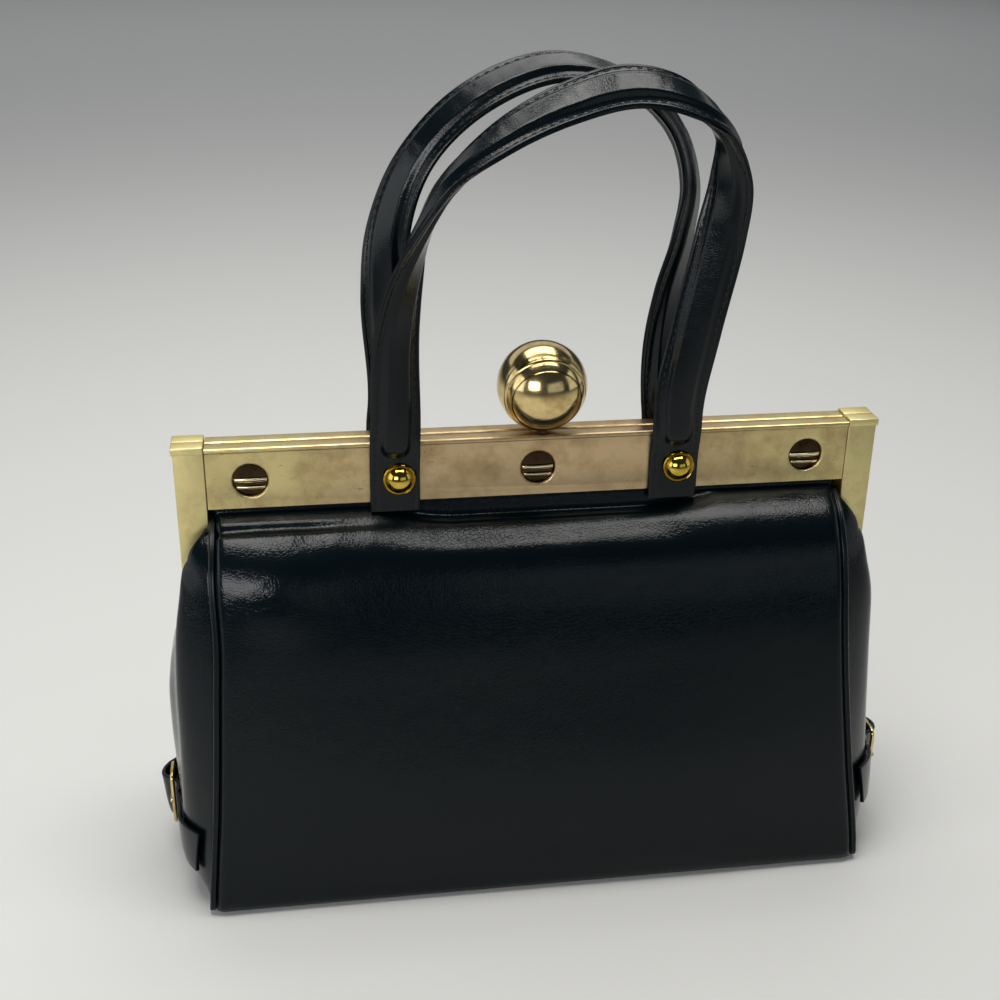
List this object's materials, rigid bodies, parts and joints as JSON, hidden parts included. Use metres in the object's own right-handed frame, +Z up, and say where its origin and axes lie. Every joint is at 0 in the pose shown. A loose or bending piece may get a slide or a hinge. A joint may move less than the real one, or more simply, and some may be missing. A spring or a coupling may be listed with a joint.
{
  "type": "frame handbag",
  "caption": "Boxy soft-sided frame handbag in glossy black leather cloth, with a gilt hinged frame, ball clasp, padded strap handles and small buckled belts at the sides.",
  "frame": {"origin": "middle of the bottom, on the floor", "axes": "+Z up through the bag and its handles, +X along the frame to the right as seen from the front, the front faces -Y"},
  "size_m": [0.2975, 0.0926, 0.3108],
  "materials": {
    "black_leather": "gloss",
    "piping": "satin gloss",
    "gilt_plate": "worn satin",
    "polished_gilt": "polished"
  },
  "bodies": {
    "root": {"body_panel": "black_leather", "gusset_left": "black_leather", "piping_left": "piping", "belt_tab_left": "black_leather", "belt_strap_left": "black_leather", "buckle_left": "polished_gilt", "hinge_pin_left": "gilt_plate", "gusset_right": "black_leather", "piping_right": "piping", "belt_tab_right": "black_leather", "belt_strap_right": "black_leather", "buckle_right": "polished_gilt", "hinge_pin_right": "gilt_plate", "frame_front_bar": "gilt_plate", "handle_front": "black_leather", "frame_front_leg_left": "gilt_plate", "handle_rivet_front_left": "polished_gilt", "frame_front_leg_right": "gilt_plate", "handle_rivet_front_right": "polished_gilt", "frame_screw_front_left": "polished_gilt", "frame_screw_front_middle": "polished_gilt", "frame_screw_front_right": "polished_gilt", "frame_back_bar": "gilt_plate", "handle_back": "black_leather", "frame_back_leg_left": "gilt_plate", "handle_rivet_back_left": "polished_gilt", "frame_back_leg_right": "gilt_plate", "handle_rivet_back_right": "polished_gilt", "frame_screw_back_left": "polished_gilt", "frame_screw_back_middle": "polished_gilt", "frame_screw_back_right": "polished_gilt", "clasp_ball_back": "polished_gilt", "clasp_ball_front": "polished_gilt"}
  },
  "joints": []
}
